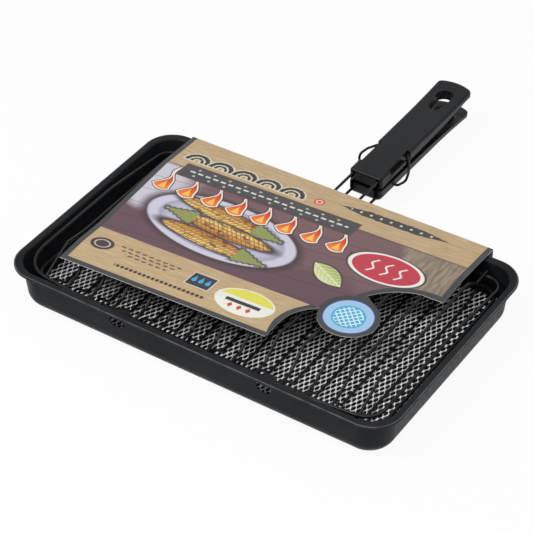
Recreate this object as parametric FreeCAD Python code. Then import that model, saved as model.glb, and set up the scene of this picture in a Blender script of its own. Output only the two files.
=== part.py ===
import FreeCAD, Part
import math
import os

# Fish grill basket: a deep drip tray with a ceramic-coated mesh, two hinged wire nets with a
# two-part handle, a wire clip that holds the handle shut, and the printed card on top.
# Millimetres. X runs along the long side, Y from the front wall to the handle, Z up.
# The origin is the middle of the tray's flat bottom.

V = FreeCAD.Vector

# Clearances and welds
rest_gap = 0.3
running_gap = 0.3
weld_depth = 0.3
past = 2.0

# Drip tray
tray_height = 39.0
rim_length = 350.0
rim_width = 221.5
rim_corner = 25.5
rim_flange = 6.5
sheet = 0.8
hem_depth = 2.4
hem_thickness = 1.8
hem_rounding = 0.8
lip_bend = 1.6
end_draft = 0.079
side_draft = 0.058
opening_corner = 21.0
bottom_bend = 13.3

# Front tabs, lanced out of the front wall, and the slots that they leave
tab_before_count = 10
tab_drop = 7.7
tab_reach = 11.2
tab_root = 14.3
tab_tip = 11.0
tab_corner = 3.3
tab_side_step = 1.0
slot_depth = 8.0

# Notch for the handle wires in the back wall
notch_side_gap = 4.1
notch_floor_rise = 0.5
notch_corner = 4.0

# Ceramic mesh
mesh_level = 11.6
mesh_thickness = 1.4
mesh_side_gap = 6.2
mesh_cell_x = 14.3
mesh_cell_y = 26.8
mesh_strand_x = 2.76
mesh_strand_y = 5.04
mesh_border = 2.0

# Wires of both nets
frame_wire = 3.0
upper_bar_wire = 2.5
lower_bar_wire = 2.2
leg_wire = 2.4
bar_count = 14
upper_bar_edge_gap = 17.5
lower_bar_edge_gap = 19.25
bar_bend = 4.0
net_side_gap = 6.0
net_front_gap = 1.81
net_back_gap = 6.75

# Upper net: levels from the rim, distances from its own front and back wires
upper_side_rise = 0.8
upper_back_drop = 8.0
upper_side_drop_run = 78.0
upper_corner = 15.0
upper_side_bend = 120.0
upper_plateau_rise = 4.0
upper_peak_rise = 6.8
upper_foot_run = 16.6
upper_foot_drop = 7.7
upper_peak_run = 36.6
upper_plateau_run = 58.6
upper_plateau_back_run = 30.0
upper_step_run = 15.0
upper_bar_front_run = 3.0
upper_bar_front_end = 1.1
upper_bar_back_end = 2.6
outer_bar_lift = (5.1, 2.7, 1.3)

# Front corner of the upper frame: share of its half length, then back from the front wire,
# height above it, and bend radius
upper_front_middle_bend = 40.0
upper_front_corner = ((0.62, 0.0, 0.0, 40.0), (0.885, 3.4, 0.3, 30.0), (0.932, 5.2, 0.7, 14.0),
                      (0.977, 9.7, 2.4, 16.0), (0.995, 16.6, 5.0, 16.0))
upper_corner_run = 24.6
upper_corner_bend = 30.0

# Lower net: distances from its own front and back wires
nets_front_step = 9.85
nets_back_step = 9.1
lower_inset = 2.0
lower_tab_gap = 0.6
lower_corner = 14.0
lower_flat_front_run = 14.5
lower_flat_back_run = 20.0
lower_bar_seat = 3.5
lower_bar_front_end = 1.4
lower_bar_back_end = 2.8

# Hinge straps
strap_before_count = 11
strap_width = 8.0
strap_sheet = 0.6

# Handle: levels from the parting plane, distances from the front of the upper grip
grip_mid_drop = 13.7
grip_stand_off = 40.25
grip_half_width = 15.5
grip_tip_spread = 0.9
grip_thickness = 11.4
grip_parting_line = ((0.0, 1.2), (0.516, 3.3), (0.748, 5.1))
grip_parting_tip = 7.7
grip_parting_tip_run = 14.0
grip_top_wall = 1.8
grip_side_wall = 2.2
grip_core_wall = 5.2
grip_core_corner = 3.0
grip_pocket_depth = 11.0
grip_front_wall = 1.8
grip_flare_run = 56.0
grip_flare_share = 0.3
grip_tip_bulge = 4.0
grip_tip_corner = 5.0
upper_grip_length = 155.0
upper_grip_flare = 2.4
upper_grip_rounding = 2.4
upper_grip_front_corner = 2.6
lower_grip_shortfall = 1.0
lower_grip_advance = 2.0
lower_grip_flare = 3.6
lower_grip_rounding = 4.0
lower_grip_front_corner = 5.0
hang_hole_tip_run = 45.0
hang_hole_length = 30.0
hang_hole_narrow = 10.0
hang_hole_wide = 15.0
hang_hole_wall = 6.0
hang_collar_wall = 2.0
hang_collar_level = 3.6

leg_play = 0.4
leg_core_play = 1.1
leg_wall_play = 0.6
leg_offset = 7.8
leg_weld_run = 14.0
leg_weld_tail = 4.0
leg_drop_run = 13.25
leg_neck_run = 1.0
leg_inner_run = 12.0
hairpin_run = 39.0
lower_hairpin_offset = 3.7
leg_bend = 12.0
leg_neck_bend = 5.0
hairpin_bend = 6.0

clamp_plate_run = 29.5
clamp_plate_length = 13.0
clamp_plate_thickness = 1.2
screw_boss = 9.0
screw_shank = 3.0
screw_head = 5.6
screw_skin = 1.3
screw_cross_length = 3.4
screw_cross_width = 0.8
screw_cross_depth = 0.7

# Latch clip: width from the grip's side, run from its pivot, height from the parting plane
latch_wire = 2.2
latch_pivot_run = 23.2
latch_pivot_below = 8.0
latch_arm_out = 2.4
latch_low_bow = (7.1, 5.4, -5.0)
latch_high_bow = (8.6, 7.2, 3.2)
latch_shoulder = (4.9, 14.2, 6.4)
latch_tip = (-1.8, 22.5, 8.3)
latch_bends = (8.0, 6.0, 6.0, 3.0)
scoop_front_run = 8.0
scoop_floor_height = 5.7
scoop_depth = 3.0
latch_slot_play = 0.6
latch_slot_run = 5.4

# Card sleeve: its ends from the net's side wires, depths on the card from its fold
card_thickness = 0.6
card_skew = 1.3
card_overhang = 4.25
card_fold_rise = 0.6
card_left_inset = 15.0
card_left_taper = 5.5
card_left_depth = 196.5
card_right_inset = 23.0
card_right_depth = 83.6
card_tab_radius = 24.2

# Card's cut-away corner: the round tab from the right end and the right edge's depth, then
# places across and down from the tab's middle
card_tab_in = 52.8
card_tab_below = 52.6
card_front_by_tab = (-40.5, 54.6)
card_left_straight = (-39.6, 27.8)
card_left_curve = (-34.1, 13.1)
card_left_pocket_drop = 2.1
card_right_pocket = (-0.3, -29.1)
card_right_curve = (15.0, -44.3)
card_right_straight = (34.0, -52.3)
card_flap_depth = 24.0
card_flap_notch_gap = 3.0
card_flap_notch_drop = 4.0
card_rise_end_run = 8.0
card_rise_start_run = 14.0

# Levels and places worked out from the sizes above
rim = tray_height
rim_back = rim_width / 2
frame_radius = frame_wire / 2
upper_bar_radius = upper_bar_wire / 2
lower_bar_radius = lower_bar_wire / 2
leg_radius = leg_wire / 2
latch_radius = latch_wire / 2
opening_x = rim_length / 2 - rim_flange
opening_y = rim_back - rim_flange
inner_bend = bottom_bend - sheet
mesh_top = mesh_level + mesh_thickness
lower_bar_weld = frame_radius + lower_bar_radius - weld_depth
upper_bar_weld = frame_radius + upper_bar_radius - weld_depth
leg_weld = frame_radius + leg_radius - weld_depth


def wall_x(z):
    """Half width of the opening between the tray's end walls at a height."""
    return opening_x - end_draft * (tray_height - z)


def wall_y(z):
    """Half width of the opening between the tray's long walls at a height."""
    return opening_y - side_draft * (tray_height - z)


tab_top = rim - tab_drop
hinge_z = tab_top + rest_gap + frame_radius
hinge_wire_y = net_front_gap + frame_radius - wall_y(hinge_z)
upper_half_length = opening_x - net_side_gap - frame_radius
upper_back_wire_y = opening_y - net_back_gap - frame_radius
upper_side_z = rim + upper_side_rise
upper_back_z = rim - upper_back_drop
plateau_z = rim + upper_plateau_rise
peak_z = rim + upper_peak_rise
upper_peak_y = hinge_wire_y + upper_peak_run
upper_plateau_front_y = hinge_wire_y + upper_plateau_run
upper_plateau_back_y = upper_back_wire_y - upper_plateau_back_run

lower_half_length = upper_half_length - lower_inset
lower_front_wire_y = tab_reach - wall_y(tab_top) + lower_tab_gap + frame_radius
lower_back_wire_y = upper_back_wire_y - lower_inset
lower_bar_z = mesh_top + rest_gap + lower_bar_radius
lower_front_z = hinge_z - nets_front_step
lower_back_z = upper_back_z - nets_back_step

upper_bar_pitch = 2 * (upper_half_length - upper_bar_edge_gap) / (bar_count - 1)
upper_bar_places = [(i - (bar_count - 1) / 2) * upper_bar_pitch for i in range(bar_count)]
lower_bar_pitch = 2 * (lower_half_length - lower_bar_edge_gap) / (bar_count - 1)
lower_bar_places = [(i - (bar_count - 1) / 2) * lower_bar_pitch for i in range(bar_count)]
tab_x = (upper_bar_places[tab_before_count - 1] + upper_bar_places[tab_before_count]) / 2 + tab_side_step
strap_x = (upper_bar_places[strap_before_count - 1] + upper_bar_places[strap_before_count]) / 2

grip_mid_z = rim - grip_mid_drop
grip_tip_half_width = grip_half_width + grip_tip_spread
grip_core_half = grip_half_width - grip_core_wall
upper_grip_front_y = rim_back + grip_stand_off
upper_grip_end_y = upper_grip_front_y + upper_grip_length
lower_grip_front_y = upper_grip_front_y - lower_grip_advance
lower_grip_end_y = lower_grip_front_y + upper_grip_length - lower_grip_shortfall
grip_flare_start_y = upper_grip_end_y - grip_flare_run
hang_hole_front_y = upper_grip_end_y - hang_hole_tip_run
leg_half_spacing = grip_half_width - grip_side_wall - leg_play - leg_radius
leg_inner_half = grip_core_half - leg_core_play - leg_radius
notch_width = 2 * (leg_half_spacing + leg_radius + notch_side_gap)
notch_floor_z = grip_mid_z - leg_offset + notch_floor_rise
clamp_plate_y = upper_grip_front_y + clamp_plate_run
latch_pivot_y = upper_grip_front_y + latch_pivot_run
latch_pivot_z = grip_mid_z - latch_pivot_below
latch_tip_y = latch_pivot_y + latch_tip[1]
card_fold_y = rim_back + card_overhang
card_left = upper_half_length - card_left_inset
card_right = upper_half_length - card_right_inset
card_tab_x = card_right - card_tab_in
card_tab_depth = card_right_depth + card_tab_below


def unit(v):
    return FreeCAD.Vector(v).normalize()


def bend_reach(half_at, z):
    """Half width inside the tray at a height low in the bottom bend."""
    centre_z = sheet + inner_bend
    slope_length = math.hypot(1, half_at(1) - half_at(0))
    centre = half_at(centre_z) - inner_bend * slope_length
    drop = min(max(centre_z - z, 0.0), inner_bend)
    return centre + math.sqrt(inner_bend ** 2 - drop ** 2)


def rounded_rectangle(half_x, half_y, corner, z):
    """Closed wire of four lines and four arcs."""
    dx = half_x - corner
    dy = half_y - corner
    edges = []
    corners = [(dx, -dy, -90), (dx, dy, 0), (-dx, dy, 90), (-dx, -dy, 180)]
    for k, (cx, cy, start) in enumerate(corners):
        a0 = math.radians(start)
        a1 = math.radians(start + 90)
        p0 = V(cx + corner * math.cos(a0), cy + corner * math.sin(a0), z)
        p1 = V(cx + corner * math.cos(a1), cy + corner * math.sin(a1), z)
        am = (a0 + a1) / 2
        mid = V(cx + corner * math.cos(am), cy + corner * math.sin(am), z)
        edges.append(Part.Arc(p0, mid, p1).toShape())
        nx, ny, after = corners[(k + 1) % 4]
        b0 = math.radians(after)
        p2 = V(nx + corner * math.cos(b0), ny + corner * math.sin(b0), z)
        edges.append(Part.LineSegment(p1, p2).toShape())
    return Part.Wire(edges)


def prism(wire, height):
    return Part.Face(wire).extrude(V(0, 0, height))


def polygon(points):
    return Part.makePolygon([V(*p) for p in points] + [V(*points[0])])


def rounded_path(points, bend, closed=False):
    """Lines through the points with a tangent arc at each corner."""
    pts = [V(*p) for p in points]
    n = len(pts)
    corners = range(n) if closed else range(1, n - 1)
    starts = {}
    ends = {}
    arcs = {}
    for i in corners:
        before = unit(pts[i - 1] - pts[i])
        after = unit(pts[(i + 1) % n] - pts[i])
        turn = math.pi - before.getAngle(after)
        if turn < 1e-4:
            starts[i] = pts[i]
            ends[i] = pts[i]
            continue
        radius = bend[i] if isinstance(bend, (list, tuple)) else bend
        room = 0.49 * min(pts[i].distanceToPoint(pts[i - 1]), pts[i].distanceToPoint(pts[(i + 1) % n]))
        cut = min(radius * math.tan(turn / 2), room)
        radius = cut / math.tan(turn / 2)
        starts[i] = pts[i] + before * cut
        ends[i] = pts[i] + after * cut
        inward = unit(before + after)
        middle = pts[i] + inward * (radius / math.cos(turn / 2) - radius)
        arcs[i] = Part.Arc(starts[i], middle, ends[i]).toShape()
    edges = []
    last = n if closed else n - 1
    for i in range(last):
        j = (i + 1) % n
        a = ends.get(i, pts[i])
        b = starts.get(j, pts[j])
        if a.distanceToPoint(b) > 1e-6:
            edges.append(Part.LineSegment(a, b).toShape())
        if j in arcs:
            edges.append(arcs[j])
    return Part.Wire(edges)


def rod(points, radius, bend, closed=False):
    """Round wire bent along the points."""
    path = rounded_path(points, bend, closed)
    first = path.OrderedEdges[0]
    start = first.valueAt(first.FirstParameter)
    heading = first.tangentAt(first.FirstParameter)
    section = Part.Wire([Part.makeCircle(radius, start, heading)])
    solid = path.makePipeShell([section], True, False)
    if solid.Volume < 0:
        solid.reverse()
    return solid


def tray_bowl(half_x, half_y, corner, floor_z, bend):
    """Solid block of the bowl: drafted walls and a bent bottom edge, up to the rim."""
    depth = tray_height - floor_z
    low = rounded_rectangle(half_x - end_draft * depth, half_y - side_draft * depth, corner, floor_z)
    high = rounded_rectangle(half_x, half_y, corner, tray_height)
    block = Part.makeLoft([low, high], True, True)
    bottom = [e for e in block.Edges if e.BoundBox.ZMax < floor_z + 0.01]
    return block.makeFillet(bend, bottom)


def tray_tab(sign):
    """Tab bent inward out of the front wall."""
    x = sign * tab_x
    root = -wall_y(tab_top) - sheet / 2
    tip = -wall_y(tab_top) + tab_reach
    z = tab_top - sheet
    points = [(x - tab_root / 2, root, z), (x + tab_root / 2, root, z)]
    points += [(x + tab_tip / 2, tip, z), (x - tab_tip / 2, tip, z)]
    blank = Part.Face(polygon(points)).extrude(V(0, 0, sheet))
    corners = [e for e in blank.Edges if e.BoundBox.YMin > tip - 0.1 and e.BoundBox.ZLength > sheet / 2]
    return blank.makeFillet(tab_corner, corners)


def tray_slot(sign):
    """Hole left in the front wall where the tab was bent out."""
    x = sign * tab_x
    top = tab_top - sheet
    y = -wall_y(top) - 2 * sheet
    points = [(x - tab_root / 2, y, top), (x + tab_root / 2, y, top)]
    points += [(x + tab_tip / 2, y, top - slot_depth), (x - tab_tip / 2, y, top - slot_depth)]
    blank = Part.Face(polygon(points)).extrude(V(0, 4 * sheet + side_draft * slot_depth, 0))
    low = [e for e in blank.Edges if e.BoundBox.ZMax < top - slot_depth + 0.1 and e.BoundBox.YLength > sheet]
    return blank.makeFillet(tab_corner, low)


def level_edges(shape, z, half_x, half_y):
    """Edges that lie at a height within a rectangle about the middle."""
    near = 0.1
    boxes = [(e, e.BoundBox) for e in shape.Edges]
    return [e for e, b in boxes if b.ZMin > z - near and b.ZMax < z + near
            and max(b.XMax, -b.XMin) < half_x + near and max(b.YMax, -b.YMin) < half_y + near]


def make_drip_tray():
    outer = tray_bowl(opening_x + sheet, opening_y + sheet, opening_corner + sheet, 0.0, bottom_bend)
    inner = tray_bowl(opening_x, opening_y, opening_corner, sheet, inner_bend)
    hem = prism(rounded_rectangle(rim_length / 2, rim_width / 2, rim_corner, rim - hem_depth), hem_depth)
    edges = [e for e in hem.Edges if e.BoundBox.ZLength < 0.01]
    hem = hem.makeFillet(hem_rounding, edges)
    under = rounded_rectangle(rim_length / 2 - hem_thickness, rim_width / 2 - hem_thickness,
                              rim_corner - hem_thickness, rim - hem_depth)
    flange = hem.cut(prism(under, hem_depth - sheet))
    tray = outer.fuse(flange).cut(inner)
    tray = tray.makeFillet(lip_bend, level_edges(tray, rim, opening_x, opening_y))
    under_lip = level_edges(tray, rim - sheet, opening_x + sheet, opening_y + sheet)
    tray = tray.makeFillet(lip_bend - sheet, under_lip)
    for sign in (-1, 1):
        tray = tray.cut(tray_slot(sign)).fuse(tray_tab(sign))
    notch = Part.makeBox(notch_width, rim_back, rim - notch_floor_z + past,
                         V(-notch_width / 2, rim_back / 2, notch_floor_z))
    low = [e for e in notch.Edges if e.BoundBox.ZMax < notch_floor_z + 0.1 and e.BoundBox.YLength > 1]
    tray = tray.cut(notch.makeFillet(notch_corner, low))
    return tray.removeSplitter()


def make_ceramic_mesh():
    """One flat sheet with staggered diamond openings."""
    half_x = bend_reach(wall_x, mesh_level) - rest_gap
    half_y = bend_reach(wall_y, mesh_level) - mesh_side_gap
    outline = rounded_rectangle(half_x, half_y, opening_corner, mesh_level)
    field_x = half_x - mesh_border
    field_y = half_y - mesh_border
    hole_x = (mesh_cell_x - mesh_strand_x) / 2
    hole_y = (mesh_cell_y - mesh_strand_y) / 2
    columns = int(field_x / mesh_cell_x * 2) + 1
    rows = int(field_y / mesh_cell_y * 2) + 1
    face = [outline]
    for i in range(-columns, columns + 1):
        for j in range(-rows, rows + 1):
            if (i + j) % 2:
                continue
            x = i * mesh_cell_x / 2
            y = j * mesh_cell_y / 2
            if abs(x) + hole_x > field_x or abs(y) + hole_y > field_y:
                continue
            face.append(polygon([(x - hole_x, y, mesh_level), (x, y - hole_y, mesh_level),
                                 (x + hole_x, y, mesh_level), (x, y + hole_y, mesh_level)]))
    print("mesh gaps", len(face) - 1)
    return Part.Face(face, "Part::FaceMakerBullseye").extrude(V(0, 0, mesh_thickness))


def make_lower_frame():
    x = lower_half_length
    points = [(-x, lower_front_wire_y, lower_front_z), (x, lower_front_wire_y, lower_front_z),
              (x, lower_back_wire_y, lower_back_z), (-x, lower_back_wire_y, lower_back_z)]
    middle = (0, lower_front_wire_y, lower_front_z)
    return rod([middle] + points[1:] + [points[0]], frame_radius, lower_corner, closed=True)


def make_lower_bar(x):
    """Flat bar, its front end over the front wire and its back end under the back wire."""
    front_z = lower_front_z + lower_bar_weld
    back_z = lower_back_z - lower_bar_weld
    front_y = lower_front_wire_y
    back_y = lower_back_wire_y
    points = [(x, front_y - lower_bar_front_end, front_z), (x, front_y + lower_bar_seat, front_z),
              (x, front_y + lower_flat_front_run, lower_bar_z),
              (x, back_y - lower_flat_back_run, lower_bar_z),
              (x, back_y - lower_bar_seat, back_z), (x, back_y + lower_bar_back_end, back_z)]
    return rod(points, lower_bar_radius, bar_bend)


def make_handle_wire(sign):
    """Hairpin of wire: sign 1 is the upper net's, -1 the lower net's."""
    weld_z = upper_back_z - leg_weld if sign > 0 else lower_back_z + leg_weld
    inner_z = hairpin_z(sign)
    grip_z = grip_mid_z + sign * leg_offset
    x = leg_half_spacing
    front = upper_grip_front_y
    side = [(x, upper_back_wire_y - leg_weld_run, weld_z), (x, upper_back_wire_y + leg_weld_tail, weld_z),
            (x, rim_back + leg_drop_run, grip_z), (x, front + leg_neck_run, grip_z),
            (leg_inner_half, front + leg_inner_run, inner_z),
            (leg_inner_half, front + hairpin_run, inner_z)]
    points = side + [(-px, py, pz) for px, py, pz in reversed(side)]
    bends = [leg_bend, leg_bend, leg_bend, leg_neck_bend, leg_neck_bend, hairpin_bend]
    return rod(points, leg_radius, bends + list(reversed(bends)))


def grip_z_at(sign, offset):
    return grip_mid_z + sign * offset


def grip_blank(sign, front_y, end_y, flare, front_corner):
    """Solid outside shape of one half of the handle."""
    top = grip_thickness
    length = end_y - front_y
    tip_y = end_y - grip_parting_tip_run
    parting = [(front_y + share * length, height) for share, height in grip_parting_line]
    parting.append((tip_y, grip_parting_tip))
    curve = Part.BSplineCurve()
    curve.interpolate([V(0, y, grip_z_at(sign, t)) for y, t in parting])
    flare_mid = V(0, (grip_flare_start_y + end_y) / 2, grip_z_at(sign, top + flare * grip_flare_share))
    flare_curve = Part.Arc(V(0, grip_flare_start_y, grip_z_at(sign, top)), flare_mid,
                           V(0, end_y, grip_z_at(sign, top + flare))).toShape()
    edges = [curve.toShape()]
    corner = V(0, end_y, grip_z_at(sign, grip_parting_tip))
    edges.append(Part.LineSegment(V(0, tip_y, grip_z_at(sign, grip_parting_tip)), corner).toShape())
    edges.append(Part.LineSegment(corner, V(0, end_y, grip_z_at(sign, top + flare))).toShape())
    edges.append(flare_curve)
    front_top = V(0, front_y, grip_z_at(sign, top))
    edges.append(Part.LineSegment(V(0, grip_flare_start_y, grip_z_at(sign, top)), front_top).toShape())
    front_low = V(0, front_y, grip_z_at(sign, grip_parting_line[0][1]))
    edges.append(Part.LineSegment(front_top, front_low).toShape())
    side = Part.Face(Part.Wire(Part.__sortEdges__(edges)))
    wide = grip_tip_half_width + past
    side.translate(V(-wide, 0, 0))
    body = side.extrude(V(2 * wide, 0, 0))
    return body.common(grip_plan(front_y, end_y, front_corner))


def grip_plan(front_y, end_y, front_corner):
    """Upright prism of the grip's outline seen from above."""
    a = grip_half_width
    b = grip_tip_half_width
    side_end = end_y - grip_tip_bulge
    edges = [Part.LineSegment(V(-a, front_y, 0), V(a, front_y, 0)).toShape(),
             Part.LineSegment(V(a, front_y, 0), V(b, side_end, 0)).toShape(),
             Part.Arc(V(b, side_end, 0), V(0, end_y, 0), V(-b, side_end, 0)).toShape(),
             Part.LineSegment(V(-b, side_end, 0), V(-a, front_y, 0)).toShape()]
    solid = prism(Part.Wire(edges), 4 * grip_thickness)
    upright = [e for e in solid.Edges if e.BoundBox.ZLength > grip_thickness]
    solid = solid.makeFillet(grip_tip_corner, [e for e in upright if e.BoundBox.YMin > side_end - 1])
    upright = [e for e in solid.Edges if e.BoundBox.ZLength > grip_thickness]
    solid = solid.makeFillet(front_corner, [e for e in upright if e.BoundBox.YMax < front_y + 1])
    solid.translate(V(0, 0, grip_mid_z - 2 * grip_thickness))
    return solid


def hang_hole(spread=0.0):
    """Upright prism of the drop-shaped hanging hole, or of its collar's outside."""
    y0 = hang_hole_front_y + hang_hole_narrow / 2
    y1 = hang_hole_front_y + hang_hole_length - hang_hole_wide / 2
    r0 = hang_hole_narrow / 2 + spread
    r1 = hang_hole_wide / 2 + spread
    lean = math.asin((r1 - r0) / (y1 - y0))
    c = math.cos(lean)
    s = math.sin(lean)
    z = grip_mid_z - 2 * grip_thickness
    edges = [Part.Arc(V(r0 * c, y0 - r0 * s, z), V(0, y0 - r0, z), V(-r0 * c, y0 - r0 * s, z)).toShape(),
             Part.LineSegment(V(-r0 * c, y0 - r0 * s, z), V(-r1 * c, y1 - r1 * s, z)).toShape(),
             Part.Arc(V(-r1 * c, y1 - r1 * s, z), V(0, y1 + r1, z), V(r1 * c, y1 - r1 * s, z)).toShape(),
             Part.LineSegment(V(r1 * c, y1 - r1 * s, z), V(r0 * c, y0 - r0 * s, z)).toShape()]
    return prism(Part.Wire(edges), 4 * grip_thickness)


def box_between(x0, x1, y0, y1, z0, z1):
    low = V(min(x0, x1), min(y0, y1), min(z0, z1))
    return Part.makeBox(abs(x1 - x0), abs(y1 - y0), abs(z1 - z0), low)


def make_grip(sign, front_y, end_y, flare, rounding, front_corner):
    """Channel-shaped grip, open towards the other one, with a boss for its clamp screw."""
    blank = grip_blank(sign, front_y, end_y, flare, front_corner)
    top = grip_thickness
    outer = [e for e in blank.Edges if e.BoundBox.YMin > front_y - 0.1
             and sign * (e.BoundBox.Center.z - grip_mid_z) > top - 0.3]
    outer = [e for e in outer if e.BoundBox.ZLength < flare + 0.3]
    blank = blank.makeFillet(rounding, outer)
    core_top = grip_z_at(sign, top - grip_top_wall)
    open_z = grip_z_at(sign, -past)
    core_end = hang_hole_front_y - hang_hole_wall
    core = box_between(-grip_core_half, grip_core_half, front_y, core_end, open_z, core_top)
    upright = [e for e in core.Edges if e.BoundBox.ZLength > 1 and e.BoundBox.YMin > core_end - 0.1]
    core = core.makeFillet(grip_core_corner, upright)
    mouth = grip_half_width - grip_side_wall
    pocket = box_between(-mouth, mouth, front_y - past, front_y + grip_pocket_depth, open_z, core_top)
    wall_half = leg_half_spacing - leg_radius - leg_wall_play
    wall = box_between(-wall_half, wall_half, front_y - past, front_y + grip_front_wall, open_z, core_top)
    boss = Part.makeCylinder(screw_boss / 2, abs(core_top - clamp_boss_z(sign)),
                             V(0, clamp_plate_y, min(core_top, clamp_boss_z(sign))))
    band = box_between(-grip_half_width, grip_half_width, hang_hole_front_y - hang_hole_wall, end_y,
                       grip_z_at(sign, hang_collar_level), grip_z_at(sign, grip_thickness - grip_top_wall))
    grip = blank.cut(core.cut(wall)).cut(pocket.cut(wall))
    return grip.fuse(hang_hole(hang_collar_wall).common(band)).cut(hang_hole()).fuse(boss)


def hairpin_z(sign):
    return grip_mid_z + leg_offset if sign > 0 else grip_mid_z - lower_hairpin_offset


def clamp_inner_z(sign):
    """Face of the clamp plate that lies on the hairpin."""
    return hairpin_z(sign) - sign * leg_radius


def clamp_boss_z(sign):
    return clamp_inner_z(sign) + sign * rest_gap


def make_clamp_plate(sign):
    half = leg_inner_half + leg_radius
    z = clamp_inner_z(sign)
    y0 = clamp_plate_y - clamp_plate_length / 2
    plate = box_between(-half, half, y0, y0 + clamp_plate_length, z, z - sign * clamp_plate_thickness)
    hole = Part.makeCone(screw_shank / 2, screw_head / 2, clamp_plate_thickness, V(0, clamp_plate_y, z),
                         V(0, 0, -sign))
    return plate.cut(hole)


def screw_length(sign):
    """From the clamp plate's inner face to the skin left under the grip's outer face."""
    return abs(grip_z_at(sign, grip_thickness) - clamp_inner_z(sign)) - screw_skin


def make_grip_screw(sign):
    z = clamp_inner_z(sign)
    head = Part.makeCone(screw_shank / 2, screw_head / 2, clamp_plate_thickness, V(0, clamp_plate_y, z),
                         V(0, 0, -sign))
    shank = Part.makeCylinder(screw_shank / 2, screw_length(sign), V(0, clamp_plate_y, z), V(0, 0, sign))
    long = screw_cross_length / 2
    wide = screw_cross_width / 2
    face = z - sign * clamp_plate_thickness
    deep = face + sign * screw_cross_depth
    cross = box_between(-long, long, clamp_plate_y - wide, clamp_plate_y + wide, face, deep)
    other = box_between(-wide, wide, clamp_plate_y - long, clamp_plate_y + long, face, deep)
    return head.fuse(shank).cut(cross).cut(other)


def screw_bore(sign):
    z = clamp_boss_z(sign)
    reach = screw_length(sign) - rest_gap
    return Part.makeCylinder(screw_shank / 2, reach, V(0, clamp_plate_y, z), V(0, 0, sign))


def make_upper_grip():
    """Upper half with the scoops that the latch clip snaps into."""
    grip = make_grip(1, upper_grip_front_y, upper_grip_end_y, upper_grip_flare, upper_grip_rounding,
                     upper_grip_front_corner)
    grip = grip.cut(screw_bore(1))
    floor = grip_mid_z + scoop_floor_height
    slot_half = latch_radius + latch_slot_play
    scoop_end = latch_tip_y + slot_half
    x0 = grip_half_width - scoop_depth
    x1 = grip_tip_half_width + past
    top = grip_z_at(1, grip_thickness + past)
    low = grip_z_at(1, 0)
    for side in (-1, 1):
        scoop = box_between(side * x0, side * x1, latch_pivot_y - scoop_front_run, scoop_end, floor, top)
        slot = box_between(side * x0, side * x1, latch_tip_y - latch_slot_run, scoop_end, low, floor)
        grip = grip.cut(scoop).cut(slot)
    return grip


def make_lower_grip():
    """Lower half with the cross bore for the latch clip's axle."""
    grip = make_grip(-1, lower_grip_front_y, lower_grip_end_y, lower_grip_flare, lower_grip_rounding,
                     lower_grip_front_corner)
    bore = Part.makeCylinder(latch_radius + running_gap, 2 * grip_tip_half_width,
                             V(-grip_tip_half_width, latch_pivot_y, latch_pivot_z), V(1, 0, 0))
    return grip.cut(screw_bore(-1)).cut(bore)


def make_latch_clip():
    """Wire clip turning in the lower grip, its two tips snapping over the upper grip."""
    arm = [(grip_half_width + out, latch_pivot_y + run, grip_mid_z + height)
           for out, run, height in (latch_tip, latch_shoulder, latch_high_bow, latch_low_bow)]
    arm.append((grip_half_width + latch_arm_out, latch_pivot_y, latch_pivot_z))
    points = arm + [(-x, y, z) for x, y, z in reversed(arm)]
    bends = [0.0] + list(latch_bends) + list(reversed(latch_bends)) + [0.0]
    return rod(points, latch_radius, bends)


def upper_side_points():
    """Right half of the upper frame from the straight front wire to the back wire."""
    x = upper_half_length
    y = hinge_wire_y
    points = [(x * share, y + back, hinge_z + rise) for share, back, rise, bend in upper_front_corner]
    return points + [(x, y + upper_corner_run, upper_side_z),
                     (x, upper_back_wire_y - upper_side_drop_run, upper_side_z),
                     (x, upper_back_wire_y, upper_back_z)]


def make_upper_frame():
    right = upper_side_points()
    left = [(-x, y, z) for x, y, z in reversed(right)]
    bends = [corner[3] for corner in upper_front_corner]
    bends += [upper_corner_bend, upper_side_bend, upper_corner]
    bends = [upper_front_middle_bend] + bends + list(reversed(bends))
    return rod([(0, hinge_wire_y, hinge_z)] + right + left, frame_radius, bends, closed=True)


def front_wire_place(x):
    """Height and Y of the upper frame's front wire at a bar."""
    points = [(0, hinge_wire_y, hinge_z)] + upper_side_points()
    for (x0, y0, z0), (x1, y1, z1) in zip(points, points[1:]):
        if x0 <= abs(x) <= x1:
            share = (abs(x) - x0) / (x1 - x0)
            return y0 + share * (y1 - y0), z0 + share * (z1 - z0)
    return hinge_wire_y, hinge_z


def make_upper_bar(index, x):
    """Bar under the front wire, up over a raised hump, along the plateau, down onto the back wire."""
    wire_y, wire_z = front_wire_place(x)
    front_z = wire_z - upper_bar_weld
    back_z = upper_back_z + upper_bar_weld
    place = min(index, bar_count - 1 - index)
    lift = outer_bar_lift[place] if place < len(outer_bar_lift) else 0.0
    foot_z = rim - upper_foot_drop + lift
    points = [(x, wire_y - upper_bar_front_end, front_z), (x, wire_y + upper_bar_front_run, front_z),
              (x, hinge_wire_y + upper_foot_run, foot_z), (x, upper_peak_y, peak_z),
              (x, upper_plateau_front_y, plateau_z), (x, upper_plateau_back_y, plateau_z),
              (x, upper_back_wire_y - upper_step_run, back_z),
              (x, upper_back_wire_y + upper_bar_back_end, back_z)]
    return rod(points, upper_bar_radius, bar_bend)


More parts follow.
